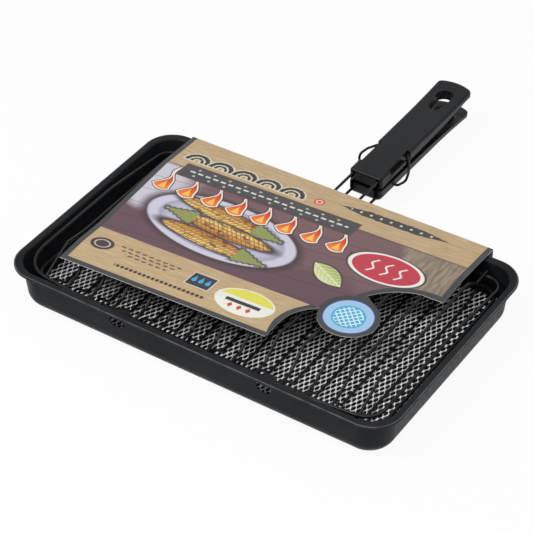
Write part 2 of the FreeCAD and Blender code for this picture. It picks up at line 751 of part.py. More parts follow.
def make_hinge_strap(side):
    """Sheet strap closed round the lower front wire and loose round the upper one."""
    inner_up = frame_radius + running_gap
    outer_up = inner_up + strap_sheet
    inner_low = frame_radius
    outer_low = inner_low + strap_sheet
    x = side * strap_x - strap_width / 2
    up = V(x, hinge_wire_y, hinge_z)
    low = V(x, lower_front_wire_y, lower_front_z)
    along = V(1, 0, 0)
    web_line = unit(low - up)
    across = unit(along.cross(web_line))
    half = strap_sheet / 2
    web = Part.Face(Part.makePolygon([up + across * half, up - across * half, low - across * half,
                                      low + across * half, up + across * half]))
    strap = Part.makeCylinder(outer_up, strap_width, up, along)
    strap = strap.fuse(Part.makeCylinder(outer_low, strap_width, low, along))
    strap = strap.fuse(web.extrude(along * strap_width))
    strap = strap.cut(Part.makeCylinder(inner_up, strap_width, up, along))
    return strap.cut(Part.makeCylinder(inner_low, strap_width, low, along))


def card_profile():
    """Side view of the card: its underside from the front edge to the fold, thickened upward."""
    over = upper_bar_radius + rest_gap
    rise_end = upper_peak_y + card_rise_end_run
    rise_start = upper_plateau_front_y + card_rise_start_run
    low = [(hinge_wire_y, peak_z + over), (rise_end, peak_z + over), (rise_start, plateau_z + over),
           (upper_plateau_back_y, plateau_z + over), (card_fold_y, rim + card_fold_rise)]
    high = [(y, z + card_thickness) for y, z in reversed(low)]
    return Part.Face(polygon([(0, y, z) for y, z in low + high]))


def on_card(across, depth):
    """Place on the card from its middle line and its fold."""
    return V(across, card_fold_y - depth, 0)


def by_tab(across, depth):
    """Place on the card from the middle of its round tab."""
    return on_card(card_tab_x + across, card_tab_depth + depth)


def card_outline():
    """Outline of the card seen from above, with the round tab in its cut-away corner."""
    tab = by_tab(0, 0)
    r = card_tab_radius
    front_left = on_card(card_left_taper - card_left, card_left_depth)
    front = by_tab(*card_front_by_tab)
    left_straight = by_tab(*card_left_straight)
    sink = card_left_pocket_drop
    left_pocket = tab + V(-math.sqrt(r * r - sink * sink), -sink, 0)
    right_pocket = by_tab(*card_right_pocket)
    reach = right_pocket - tab
    turn = math.atan2(reach.y, reach.x) - math.acos(r / reach.Length)
    neck = tab + V(r * math.cos(turn), r * math.sin(turn), 0)
    around = tab + V(r * math.cos(-math.pi / 4), r * math.sin(-math.pi / 4), 0)
    right_straight = by_tab(*card_right_straight)
    right = on_card(card_right, card_right_depth)
    back_right = on_card(card_right, -past)
    back_left = on_card(-card_left, -past)
    edges = [Part.LineSegment(back_left, front_left).toShape(),
             Part.LineSegment(front_left, front).toShape(),
             Part.LineSegment(front, left_straight).toShape(),
             Part.Arc(left_straight, by_tab(*card_left_curve), left_pocket).toShape(),
             Part.Arc(left_pocket, around, neck).toShape(),
             Part.LineSegment(neck, right_pocket).toShape(),
             Part.Arc(right_pocket, by_tab(*card_right_curve), right_straight).toShape(),
             Part.LineSegment(right_straight, right).toShape(),
             Part.LineSegment(right, back_right).toShape(),
             Part.LineSegment(back_right, back_left).toShape()]
    solid = prism(Part.Wire(edges), rim)
    solid.translate(V(0, 0, rim / 2))
    return solid


def make_card_sleeve():
    """Folded printed card: a panel on the bars and a flap hanging behind the rim."""
    wide = card_left + card_right + 2 * past
    face = card_profile()
    face.translate(V(-wide / 2 - past, 0, 0))
    panel = face.extrude(V(wide + 2 * past, 0, 0)).common(card_outline())
    fold_top = rim + card_fold_rise + card_thickness
    flap_end = fold_top - card_flap_depth
    flap = box_between(-card_left, card_right, card_fold_y - card_thickness, card_fold_y, flap_end, fold_top)
    half = notch_width / 2 + card_flap_notch_gap
    opening = box_between(-half, half, card_fold_y - past, card_fold_y + past,
                          flap_end - past, rim - card_flap_notch_drop)
    card = panel.fuse(flap.cut(opening)).removeSplitter()
    card.rotate(V(0, card_fold_y, 0), V(0, 0, 1), card_skew)
    return card


parts = {"drip_tray": make_drip_tray(), "ceramic_mesh": make_ceramic_mesh()}
parts["lower_frame"] = make_lower_frame()
parts["upper_frame"] = make_upper_frame()
for number in range(bar_count):
    parts["lower_bar_%02d" % (number + 1)] = make_lower_bar(lower_bar_places[number])
    parts["upper_bar_%02d" % (number + 1)] = make_upper_bar(number, upper_bar_places[number])
parts["hinge_strap_left"] = make_hinge_strap(-1)
parts["hinge_strap_right"] = make_hinge_strap(1)
parts["lower_handle_wire"] = make_handle_wire(-1)
parts["upper_handle_wire"] = make_handle_wire(1)
parts["lower_grip"] = make_lower_grip()
parts["upper_grip"] = make_upper_grip()
parts["lower_clamp_plate"] = make_clamp_plate(-1)
parts["upper_clamp_plate"] = make_clamp_plate(1)
parts["lower_grip_screw"] = make_grip_screw(-1)
parts["upper_grip_screw"] = make_grip_screw(1)
parts["latch_clip"] = make_latch_clip()
parts["card_sleeve"] = make_card_sleeve()

os.makedirs("parts", exist_ok=True)
for name, shape in parts.items():
    solids = shape.Solids
    box = shape.BoundBox
    print("%-18s solids %d valid %s volume %.1f box %.1f %.1f %.1f to %.1f %.1f %.1f" % (
        name, len(solids), shape.isValid(), shape.Volume, box.XMin, box.YMin, box.ZMin,
        box.XMax, box.YMax, box.ZMax))
    shape.exportStep("parts/%s.step" % name)
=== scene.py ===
import math

import bmesh
import bpy
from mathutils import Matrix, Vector


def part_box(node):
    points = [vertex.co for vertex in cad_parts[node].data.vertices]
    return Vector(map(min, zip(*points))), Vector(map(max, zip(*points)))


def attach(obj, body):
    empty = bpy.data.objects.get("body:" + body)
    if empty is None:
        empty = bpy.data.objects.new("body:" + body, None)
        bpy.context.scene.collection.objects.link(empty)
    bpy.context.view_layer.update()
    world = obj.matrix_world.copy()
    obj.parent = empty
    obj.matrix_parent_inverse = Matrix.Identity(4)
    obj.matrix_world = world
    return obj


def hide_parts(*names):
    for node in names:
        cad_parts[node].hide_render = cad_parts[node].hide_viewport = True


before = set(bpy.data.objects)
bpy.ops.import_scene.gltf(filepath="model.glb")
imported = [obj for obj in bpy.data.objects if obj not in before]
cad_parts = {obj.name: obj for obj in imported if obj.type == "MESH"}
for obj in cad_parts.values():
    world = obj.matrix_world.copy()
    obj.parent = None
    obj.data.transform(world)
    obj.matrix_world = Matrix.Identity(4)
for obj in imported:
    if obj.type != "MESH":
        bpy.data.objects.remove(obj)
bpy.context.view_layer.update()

# Fish grill basket. Metres; every number written in millimetres goes through MM.
MM = 0.001
scene = bpy.context.scene
scene.view_settings.view_transform = "Standard"


# ---------------------------------------------------------------- camera
CAMERA_AT = (0.7086, -1.0762, 1.1048)
CAMERA_TILT = math.radians(50.47)
CAMERA_TURN = math.radians(33.31)
CAMERA_LENS = 144.6

camera_data = bpy.data.cameras.new("camera")
camera_data.lens = CAMERA_LENS
camera_data.sensor_width = 36.0
camera_data.sensor_fit = "HORIZONTAL"
camera_data.clip_end = 50.0
camera = bpy.data.objects.new("camera", camera_data)
camera.location = CAMERA_AT
camera.rotation_euler = (CAMERA_TILT, 0.0, CAMERA_TURN)
scene.collection.objects.link(camera)
scene.camera = camera


# ---------------------------------------------------------------- node graphs
def srgb(r, g, b):
    """Linear colour from 0-255 display values."""
    out = []
    for c in (r, g, b):
        c = c / 255.0
        out.append(c / 12.92 if c <= 0.04045 else ((c + 0.055) / 1.055) ** 2.4)
    return tuple(out) + (1.0,)


class Graph:
    """Small helper round one material's node tree."""

    def __init__(self, name):
        self.material = bpy.data.materials.new(name)
        self.material.use_nodes = True
        self.tree = self.material.node_tree
        self.nodes = self.tree.nodes
        self.nodes.clear()
        self.out = self.nodes.new("ShaderNodeOutputMaterial")
        coord = self.nodes.new("ShaderNodeTexCoord")
        self.object = coord.outputs["Object"]
        self.normal = coord.outputs["Normal"]

    def put(self, socket, value):
        if isinstance(value, F):
            value = value.socket
        if isinstance(value, bpy.types.NodeSocket):
            self.tree.links.new(value, socket)
        else:
            socket.default_value = value

    def math(self, op, *values):
        node = self.nodes.new("ShaderNodeMath")
        node.operation = op
        for k, value in enumerate(values):
            self.put(node.inputs[k], value)
        return F(self, node.outputs[0])

    def split(self, vector):
        node = self.nodes.new("ShaderNodeSeparateXYZ")
        self.put(node.inputs[0], vector)
        return [F(self, node.outputs[k]) for k in range(3)]

    def join(self, x, y, z=0.0):
        node = self.nodes.new("ShaderNodeCombineXYZ")
        for k, value in enumerate((x, y, z)):
            self.put(node.inputs[k], value)
        return node.outputs[0]

    def noise(self, vector, scale, detail=3.0, rough=0.5, distort=0.0):
        node = self.nodes.new("ShaderNodeTexNoise")
        self.put(node.inputs["Vector"], vector)
        node.inputs["Scale"].default_value = scale
        node.inputs["Detail"].default_value = detail
        node.inputs["Roughness"].default_value = rough
        node.inputs["Distortion"].default_value = distort
        return F(self, node.outputs[0])

    def cells(self, vector, scale, feature="F1"):
        node = self.nodes.new("ShaderNodeTexVoronoi")
        node.feature = feature
        self.put(node.inputs["Vector"], vector)
        node.inputs["Scale"].default_value = scale
        return F(self, node.outputs["Distance"])

    def ramp(self, value, low, high, to_low=0.0, to_high=1.0):
        node = self.nodes.new("ShaderNodeMapRange")
        node.interpolation_type = "SMOOTHSTEP"
        self.put(node.inputs["Value"], value)
        node.inputs["From Min"].default_value = low
        node.inputs["From Max"].default_value = high
        node.inputs["To Min"].default_value = to_low
        node.inputs["To Max"].default_value = to_high
        return F(self, node.outputs["Result"])

    def mix(self, fac, a, b):
        node = self.nodes.new("ShaderNodeMix")
        node.data_type = "RGBA"
        self.put(node.inputs[0], fac)
        self.put(node.inputs[6], a)
        self.put(node.inputs[7], b)
        return node.outputs[2]

    def bump(self, height, strength, distance, normal=None):
        node = self.nodes.new("ShaderNodeBump")
        node.inputs["Strength"].default_value = strength
        node.inputs["Distance"].default_value = distance
        self.put(node.inputs["Height"], height)
        if normal is not None:
            self.put(node.inputs["Normal"], normal)
        return node.outputs[0]

    def surface(self, color, rough, metallic=0.0, specular=0.5, coat=0.0, coat_rough=0.1, normal=None):
        node = self.nodes.new("ShaderNodeBsdfPrincipled")
        self.put(node.inputs["Base Color"], color)
        self.put(node.inputs["Roughness"], rough)
        node.inputs["Metallic"].default_value = metallic
        node.inputs["Specular IOR Level"].default_value = specular
        node.inputs["Coat Weight"].default_value = coat
        node.inputs["Coat Roughness"].default_value = coat_rough
        if normal is not None:
            self.put(node.inputs["Normal"], normal)
        self.put(self.out.inputs["Surface"], node.outputs[0])
        return self.material


class F:
    """A number in a graph, with arithmetic."""

    def __init__(self, graph, socket):
        self.graph = graph
        self.socket = socket

    def __add__(self, other):
        return self.graph.math("ADD", self, other)

    __radd__ = __add__

    def __sub__(self, other):
        return self.graph.math("SUBTRACT", self, other)

    def __rsub__(self, other):
        return self.graph.math("SUBTRACT", other, self)

    def __mul__(self, other):
        return self.graph.math("MULTIPLY", self, other)

    __rmul__ = __mul__

    def __truediv__(self, other):
        return self.graph.math("DIVIDE", self, other)

    def __neg__(self):
        return self.graph.math("MULTIPLY", self, -1.0)

    def abs(self):
        return self.graph.math("ABSOLUTE", self)

    def sin(self):
        return self.graph.math("SINE", self)

    def root(self):
        return self.graph.math("SQRT", self)

    def least(self, other):
        return self.graph.math("MINIMUM", self, other)

    def most(self, other):
        return self.graph.math("MAXIMUM", self, other)

    def wrap(self, period):
        """Runs from minus to plus half a period, again and again."""
        return self.graph.math("WRAP", self, period / 2, -period / 2)

    def wave(self, period):
        """Cosine from 0 to 1 of that period, 1 at 0."""
        return self.graph.math("COSINE", self * (2 * math.pi / period)) * 0.5 + 0.5

    def edge(self, soft=0.35):
        """1 inside a distance field, 0 outside, with a soft edge that many millimetres wide."""
        return self.graph.ramp(self, soft, -soft)


# ---------------------------------------------------------------- materials of the metal and grips
RIM_HALF_X = 175.0
RIM_HALF_Y = 110.75
RIM_CORNER = 25.5
RIM_LEVEL = 38.0


def painted_rim_highlight(g, color):
    """Painted highlight: a paler line along the rounded outer edge of the rim, broken up by noise, standing in
    for the light the edge catches.
    """
    x, y, z = g.split(g.object)
    out_x = ((x * 1000.0).abs() - (RIM_HALF_X - RIM_CORNER)).most(0.0)
    out_y = ((y * 1000.0).abs() - (RIM_HALF_Y - RIM_CORNER)).most(0.0)
    inward = RIM_CORNER - (out_x * out_x + out_y * out_y).root()
    # painted highlight band just inside the outer edge, on the rim top only
    line = g.ramp((inward - 0.7).abs(), 0.75, 0.2) * g.ramp(z * 1000.0, RIM_LEVEL, RIM_LEVEL + 0.4)
    patchy = g.ramp(g.noise(g.object, 90.0, 3.0), 0.3, 0.6, 0.35, 0.9)
    return g.mix(line * patchy, color, srgb(98, 99, 101))


def speckled(name, dark, light, rough, grain, specular, bump_depth, rim=False):
    """Hard black coat: cloudy tone, fine speckle, orange-peel bump and worn roughness; with rim set, also a
    painted highlight along the rim's outer edge.
    """
    g = Graph(name)
    cloud = g.noise(g.object, 18.0, 3.0)
    speck = g.noise(g.object, grain, 2.0, 0.7)
    tone = cloud * 0.45 + speck * 0.55
    color = g.mix(g.ramp(tone, 0.3, 0.72), dark, light)
    # painted highlight along the outer edge of the rim
    if rim:
        color = painted_rim_highlight(g, color)
    roughness = g.ramp(g.noise(g.object, grain * 0.2, 3.0), 0.25, 0.75, rough - 0.07, rough + 0.09)
    peel = g.noise(g.object, grain * 0.55, 2.0)
    normal = g.bump(peel, 0.5, bump_depth)
    return g.surface(color, roughness, 0.0, specular, 0.0, 0.25, normal)


enamel = speckled("tray_enamel", srgb(20, 22, 25), srgb(40, 42, 46), 0.36, 1500.0, 0.07, 0.00006, rim=True)
wire_coat = speckled("coated_wire", srgb(8, 8, 9), srgb(22, 23, 24), 0.3, 2600.0, 0.2, 0.00004)


def make_grip_material():
    """Moulded phenolic: satin, faint flow marks along the length and a fine grain."""
    g = Graph("grip_phenolic")
    x, y, z = g.split(g.object)
    stretched = g.join(x * 60.0, y * 9.0, z * 60.0)
    flow = g.noise(stretched, 1.0, 4.0, 0.6, 0.4)
    grain = g.noise(g.object, 2400.0, 2.0, 0.6)
    tone = flow * 0.6 + grain * 0.4
    color = g.mix(g.ramp(tone, 0.3, 0.7), srgb(11, 12, 14), srgb(24, 26, 29))
    rough = g.ramp(flow, 0.3, 0.7, 0.28, 0.42)
    normal = g.bump(grain, 0.35, 0.00004, g.bump(flow, 0.25, 0.00012))
    return g.surface(color, rough, 0.0, 0.16, 0.0, 0.1, normal)


def make_steel():
    """Zinc-plated steel: brushed streaks and faint blue-grey clouds."""
    g = Graph("plated_steel")
    x, y, z = g.split(g.object)
    streak = g.noise(g.join(x * 900.0, y * 90.0, z * 900.0), 1.0, 3.0)
    cloud = g.noise(g.object, 160.0, 3.0)
    color = g.mix(g.ramp(cloud, 0.3, 0.7), srgb(150, 153, 158), srgb(196, 196, 192))
    rough = g.ramp(streak, 0.2, 0.8, 0.24, 0.4)
    return g.surface(color, rough, 1.0, 0.5, 0.0, 0.1, g.bump(streak, 0.3, 0.00003))


def make_ceramic():
    """Pale ceramic coat: chalky, uneven, with darker pin-holes."""
    g = Graph("ceramic_coat")
    cloud = g.noise(g.object, 55.0, 3.0)
    grit = g.noise(g.object, 1700.0, 3.0, 0.7)
    pits = g.cells(g.object, 900.0)
    color = g.mix(g.ramp(cloud, 0.3, 0.7), srgb(236, 237, 236), srgb(250, 250, 248))
    color = g.mix(g.ramp(grit, 0.5, 0.78, 0.0, 0.45), color, srgb(150, 148, 143))
    color = g.mix(g.ramp(pits, 0.16, 0.05, 0.0, 0.5), color, srgb(96, 92, 86))
    normal = g.bump(grit, 0.6, 0.00012)
    return g.surface(color, g.ramp(cloud, 0.3, 0.7, 0.5, 0.66), 0.0, 0.4, 0.0, 0.1, normal)


grip_plastic = make_grip_material()
steel = make_steel()
ceramic = make_ceramic()


# ---------------------------------------------------------------- printed card
CARD_FOLD_Y = 115.0
CARD_SKEW = math.radians(1.3)
PRINT_SLOPE = 0.0335


def length(x, y):
    return (x * x + y * y).root()


def ellipse(u, w, cu, cw, a, b, turn=0.0):
    """Distance field of an ellipse, near enough for soft print edges."""
    c = math.cos(math.radians(turn))
    s = math.sin(math.radians(turn))
    x = (u - cu) * c + (w - cw) * s
    y = (w - cw) * c - (u - cu) * s
    return (length(x * (1.0 / a), y * (1.0 / b)) - 1.0) * min(a, b)


def slab(u, w, u0, u1, w0, w1):
    """Distance field of an upright rectangle."""
    x = (u - (u0 + u1) / 2).abs() - (u1 - u0) / 2
    y = (w - (w0 + w1) / 2).abs() - (w1 - w0) / 2
    return x.most(y)


def make_card_material():
    """Card print: kraft bands, slate banner, a grill picture of plain shapes, badges, dark border."""
    g = Graph("printed_card")
    x, y, z = g.split(g.object)
    x = x * 1000.0
    y = y * 1000.0 - CARD_FOLD_Y
    c = math.cos(CARD_SKEW)
    s = math.sin(CARD_SKEW)
    u = x * c + y * s
    v = x * s - y * c
    w = v + u * PRINT_SLOPE
    flat = g.join(u, w)

    # kraft paper with its fibres
    fibre = g.noise(g.join(u * 0.05, w * 0.9), 1.0, 4.0, 0.6)
    fleck = g.noise(flat, 1.6, 2.0, 0.7)
    color = g.mix(g.ramp(fibre * 0.7 + fleck * 0.3, 0.36, 0.64), srgb(178, 150, 112), srgb(206, 180, 142))

    # picture field: pale plate, plum board, grey wood
    blur = g.noise(flat, 0.03, 3.0)
    along = u + (blur - 0.5) * 60.0
    picture = g.mix(g.ramp(along, -128.0, -84.0), srgb(206, 200, 210), srgb(116, 88, 92))
    picture = g.mix(g.ramp(w + (blur - 0.5) * 30.0, 96.0, 112.0), picture, srgb(96, 72, 80))
    plank = ((w + u * 0.1).wrap(19.0).abs() - 9.1).edge(-0.4)
    picture = g.mix(plank * 0.45, picture, srgb(58, 42, 48))
    grain = g.noise(g.join(u * 0.35, w * 0.05 + u * 0.02), 1.0, 4.0, 0.6)
    wood = g.mix(g.ramp(grain, 0.35, 0.65), srgb(122, 106, 92), srgb(158, 142, 124))
    picture = g.mix(g.ramp(u - w * 0.35, 62.0, 70.0), picture, wood)
    plate = ellipse(u, w, -54.0, 97.0, 68.0, 33.0, 4.0)
    picture = g.mix((plate - 3.0).edge(3.0), picture, srgb(66, 48, 56))
    picture = g.mix(plate.edge(0.8), picture, srgb(206, 204, 220))
    picture = g.mix((plate + 5.0).edge(1.2), picture, srgb(158, 152, 176))
    picture = g.mix((plate + 7.0).edge(3.0), picture, srgb(190, 186, 204))

    # three grilled corn cobs, head to tail on the plate
    char = g.noise(flat, 0.16, 3.0, 0.6)
    for cu, cw, turn, flip in ((-62.0, 80.0, 7.0, 1.0), (-50.0, 97.0, 4.0, -1.0), (-58.0, 113.5, 6.0, 1.0)):
        ct = math.cos(math.radians(turn))
        st = math.sin(math.radians(turn))
        a = ((u - cu) * ct + (w - cw) * st) * flip
        b = (w - cw) * ct - (u - cu) * st
        cob = (length(a * (1.0 / 42.0), b * (1.0 / 7.6)) - 1.0) * 7.6
        husk = (b.abs() - g.ramp(a, 26.0, 58.0, 8.6, 1.2) + (a * 1.3).sin() * 0.5).most((a - 58.0).most(30.0 - a))
        seed = (a + 0.8 * b).wave(4.3).least(b.wave(3.9))
        skin = g.mix(g.ramp(b * flip, -7.0, 6.0), srgb(196, 132, 60), srgb(240, 204, 122))
        skin = g.mix(g.ramp(seed, 0.3, 0.02, 0.0, 0.75), skin, srgb(128, 78, 38))
        skin = g.mix(g.ramp(char, 0.5, 0.62, 0.0, 0.7), skin, srgb(74, 44, 30))
        leaf = g.mix((b * 1.0).wave(2.6).edge(0.9), srgb(150, 156, 92), srgb(104, 112, 66))
        picture = g.mix((cob.least(husk) - 1.6).edge(1.4), picture, srgb(54, 40, 46))
        picture = g.mix(cob.edge(0.5), picture, skin)
        picture = g.mix(husk.edge(0.5), picture, leaf)

    # pale green leaf
    leaf_u = (u - 46.0) * 0.88 + (w - 103.0) * 0.47
    leaf_w = (w - 103.0) * 0.88 - (u - 46.0) * 0.47
    leaf = leaf_w.abs() - (1.0 - leaf_u * leaf_u * (1.0 / 324.0)) * 8.6
    leaf = leaf.most(leaf_u.abs() - 18.0)
    veins = ((leaf_u - leaf_w.abs() * 1.1).wrap(5.0).abs() - 0.35).least(leaf_w.abs() - 0.5)
    green = g.mix(g.ramp(leaf_w, -7.0, 7.0), srgb(168, 178, 104), srgb(214, 218, 160))
    green = g.mix(veins.edge(0.35), green, srgb(232, 234, 196))
    picture = g.mix((leaf - 1.4).edge(1.2), picture, srgb(62, 48, 52))
    picture = g.mix(leaf.edge(0.5), picture, green)

    # row of flames
    step = 23.0
    fu = (u + 34.5).wrap(step)
    rise = 66.0 - w
    sway = (rise * 0.28).sin() * 1.6
    width = g.ramp(rise, -11.0, 13.0, 8.6, 0.0)
    flame = ((fu - sway).abs() - width).most(rise * -1.0 - 9.0 + (fu * fu) * 0.06)
    row = (u + 46.0).abs() - 4.0 * step
    flame = flame.most(row)
    picture = g.mix((flame - 2.3).edge(0.4), picture, srgb(44, 38, 38))
    picture = g.mix((flame - 1.3).edge(0.4), picture, srgb(240, 236, 226))
    heat = g.mix(g.ramp(rise, -8.0, 9.0), srgb(236, 128, 52), srgb(196, 52, 34))
    picture = g.mix(flame.edge(0.4), picture, heat)
    core = (fu.abs() - g.ramp(rise, -9.0, 4.0, 3.6, 0.0)).most(row)
    core = core.most(rise * -1.0 - 7.0)
    picture = g.mix(core.edge(0.5), picture, srgb(246, 190, 96))

    field = (39.7 - w).most(w - 141.0)
    color = g.mix(field.edge(0.3), color, picture)
    color = g.mix(((w - 40.3).abs() - 0.5).edge(0.3), color, srgb(92, 64, 50))

    # slate banner with a thin brown outline and a row of white dashes
    banner = slab(u, w, -126.0, 37.0, 32.6, 52.3)
    color = g.mix(banner.edge(0.3), color, srgb(112, 62, 46))
    color = g.mix((banner + 1.0).edge(0.3), color, srgb(66, 66, 70))
    dash = slab(u.wrap(7.2), (w - 42.4).abs(), -2.3, 2.3, -1.0, 1.0).most((u + 44.5).abs() - 74.0)
    color = g.mix(dash.edge(0.4), color, srgb(226, 222, 214))
    lozenge = ((u - 3.6).wrap(14.4).abs() + ((w - 42.4).abs() - 5.0).abs() * 1.2 - 1.6)
    lozenge = lozenge.most((u + 44.5).abs() - 74.0)
    color = g.mix(lozenge.edge(0.4), color, srgb(200, 190, 176))

    # ink waves in the top band, with a pale halo
    for k in range(5):
        cu = -122.0 + 22.5 * k
        ring = length(u - cu, (w - 26.5) * 1.05)
        brush = g.noise(flat, 0.55 + 0.05 * k, 3.0, 0.6)
        arc = ((ring - 9.2).abs() - 1.9).least((ring - 4.6).abs() - 1.2)
        arc = (arc + (brush - 0.5) * 2.6).most(w - 27.5)
        color = g.mix((arc - 1.3).edge(0.4), color, srgb(226, 214, 190))
        color = g.mix(arc.edge(0.35), color, srgb(46, 44, 44))
    seal = length(u + 8.0, w - 23.0) - 4.6
    color = g.mix(seal.edge(0.4), color, srgb(214, 74, 78))
    color = g.mix(((length(u + 8.0, w - 23.0) - 2.4).abs() - 0.6).edge(0.4), color, srgb(240, 214, 200))
    stroke = ((w - 16.8 + (g.noise(flat, 0.25, 3.0) - 0.5) * 3.0).abs()
              - g.ramp((u - 56.0).abs(), 54.0, 20.0, 0.0, 4.4))
    color = g.mix(stroke.edge(0.4), color, srgb(58, 56, 56))
    tick = slab(u.wrap(9.0), w, -1.0, 1.0, 15.6, 18.0).most((u - 56.0).abs() - 38.0)
    color = g.mix(tick.edge(0.4), color, srgb(222, 212, 192))

    # crimson badge with a white rim and three steam lines
    badge = ellipse(u, w, 81.5, 75.0, 28.8, 15.6, 0.0)
    color = g.mix((badge - 2.8).edge(0.35), color, srgb(62, 52, 54))
    color = g.mix((badge - 1.8).edge(0.35), color, srgb(240, 236, 230))
    color = g.mix(badge.edge(0.35), color, srgb(190, 62, 76))
    steam = ((u - 82.0).wrap(12.0) - ((w - 75.0) * 0.55).sin() * 1.8).abs() - 1.0
    steam = steam.most((u - 82.0).abs() - 17.0).most((w - 75.0).abs() - 8.0)
    color = g.mix(steam.edge(0.4), color, srgb(240, 228, 224))

    # lower band: pale badge, roundel, square with drops, row of dots
    badge = ellipse(u, w, 10.9, 166.0, 25.0, 16.0, 0.0)
    color = g.mix(badge.edge(0.35), color, srgb(238, 236, 226))
    yellow = (badge + 1.0).most(w - 162.6)
    color = g.mix(yellow.edge(0.4), color, srgb(226, 220, 92))
    pan = slab(u, w, -4.4, 25.6, 166.1, 170.1)
    color = g.mix(pan.edge(0.4), color, srgb(40, 40, 42))
    glow = ((u - 10.6).wrap(8.0).abs() + (w - 174.1).abs() * 0.7 - 2.2).most((u - 10.6).abs() - 13.0)
    color = g.mix(glow.edge(0.4), color, srgb(206, 72, 60))
    roundel = ellipse(u, w, -122.5, 160.2, 10.0, 8.0)
    color = g.mix(roundel.edge(0.4), color, srgb(58, 48, 52))
    color = g.mix(((roundel + 3.0).abs() - 0.5).edge(0.4), color, srgb(206, 190, 170))
    square = slab(u, w, -41.0, -21.0, 152.8, 169.0)
    color = g.mix((square - 0.8).edge(0.3), color, srgb(222, 216, 204))
    color = g.mix(square.edge(0.3), color, srgb(40, 44, 52))
    du = (u + 31.0).wrap(6.0)
    drop = (length(du, w - 162.0) - 1.9).least((du.abs() - (w - 156.0) * 0.36).most(w - 162.0))
    drop = drop.most((u + 31.0).abs() - 8.5)
    color = g.mix(drop.edge(0.4), color, srgb(70, 168, 214))
    for k in range(3):
        line = ((w - 155.4 - 4.2 * k - (u * 0.9).sin() * 0.35).abs() - 0.85)
        line = line.most((u + 80.4).abs() - (29.0 - 5.0 * k)).most(1.2 - (u + 4.0 * k).wrap(6.4).abs())
        color = g.mix(line.edge(0.4), color, srgb(96, 76, 58))
    dot = (length(u.wrap(4.0), w - 177.9) - 1.6).most((u + 58.4).abs() - 41.0)
    color = g.mix(dot.edge(0.35), color, srgb(60, 52, 48))

    # dark border along the cut edges, all of the round tab outside its disc
    disc = length(u - 85.2, v - 136.2)
    border = u + 141.4 - v * 0.028
    border = border.least((187.6 - u * 0.0308 - v).most(u - 46.0))
    border = border.least((133.4 - u).most(v - 84.0))
    border = border.least((length(u - 86.0, v - 170.7) - 45.5).most(138.0 - v))
    border = border.least((length(u - 130.8, v - 138.0) - 59.9).most(v - 112.0))
    border = border.least((79.1 - v).most(119.2 - u)).least(disc - 25.2)
    color = g.mix(border.edge(0.3), color, srgb(58, 58, 59))
    color = g.mix((disc - 20.4).edge(0.3), color, srgb(60, 74, 132))
    color = g.mix((disc - 19.5).edge(0.3), color, srgb(164, 198, 232))
    inner = disc - 13.4
    color = g.mix(inner.edge(0.3), color, srgb(68, 172, 210))
    lattice = (u + v).wrap(5.2).abs().least((u - v).wrap(5.2).abs()) - 0.75
    color = g.mix(lattice.most(inner + 1.5).edge(0.35), color, srgb(214, 236, 244))

    # bare white pulp on the cut edges
    nx, ny, nz = g.split(g.normal)
    side = g.ramp(nz.abs(), 0.6, 0.3).least(g.ramp(v, 0.4, 0.9))
    color = g.mix(side, color, srgb(232, 230, 226))
    sheen = g.noise(flat, 0.5, 3.0)
    rough = g.ramp(sheen, 0.3, 0.7, 0.36, 0.46)
    normal = g.bump(fleck, 0.15, 0.00003)
    return g.surface(color, rough, 0.0, 0.35, 0.0, 0.1, normal)


card_print = make_card_material()


# ---------------------------------------------------------------- CAD nodes keep their shapes
def dress(names, material):
    for name in names:
        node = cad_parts[name]
        node.data.materials.clear()
        node.data.materials.append(material)


every = sorted(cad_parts)
dress(["drip_tray"], enamel)
dress(["ceramic_mesh"], ceramic)
dress([n for n in every if "_bar_" in n or n.endswith("_frame") or n.endswith("_wire")
       or "strap" in n or n == "latch_clip"], wire_coat)
dress(["upper_grip", "lower_grip"], grip_plastic)
dress([n for n in every if "clamp" in n or "screw" in n], steel)
dress(["card_sleeve"], card_print)


def new_piece(name, mesh, body, material, replaced=()):
    piece = bpy.data.objects.new(name, mesh)
    scene.collection.objects.link(piece)
    mesh.materials.append(material)
    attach(piece, body)
    if replaced:
        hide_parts(*replaced)
    return piece


# ---------------------------------------------------------------- ceramic mesh
CELL_X = 4.6
CELL_Y = 8.6
HOLE_X = 1.48
HOLE_Y = 3.0
HOLE_ROUND = 2.0
STRAND_HALF = 0.62
LEFT_BARE = 9.0


def hash01(i, j, k):
    """Repeatable number from 0 to 1 for a place in the lattice."""
    h = math.sin(i * 127.1 + j * 311.7 + k * 74.7) * 43758.5453
    return h - math.floor(h)


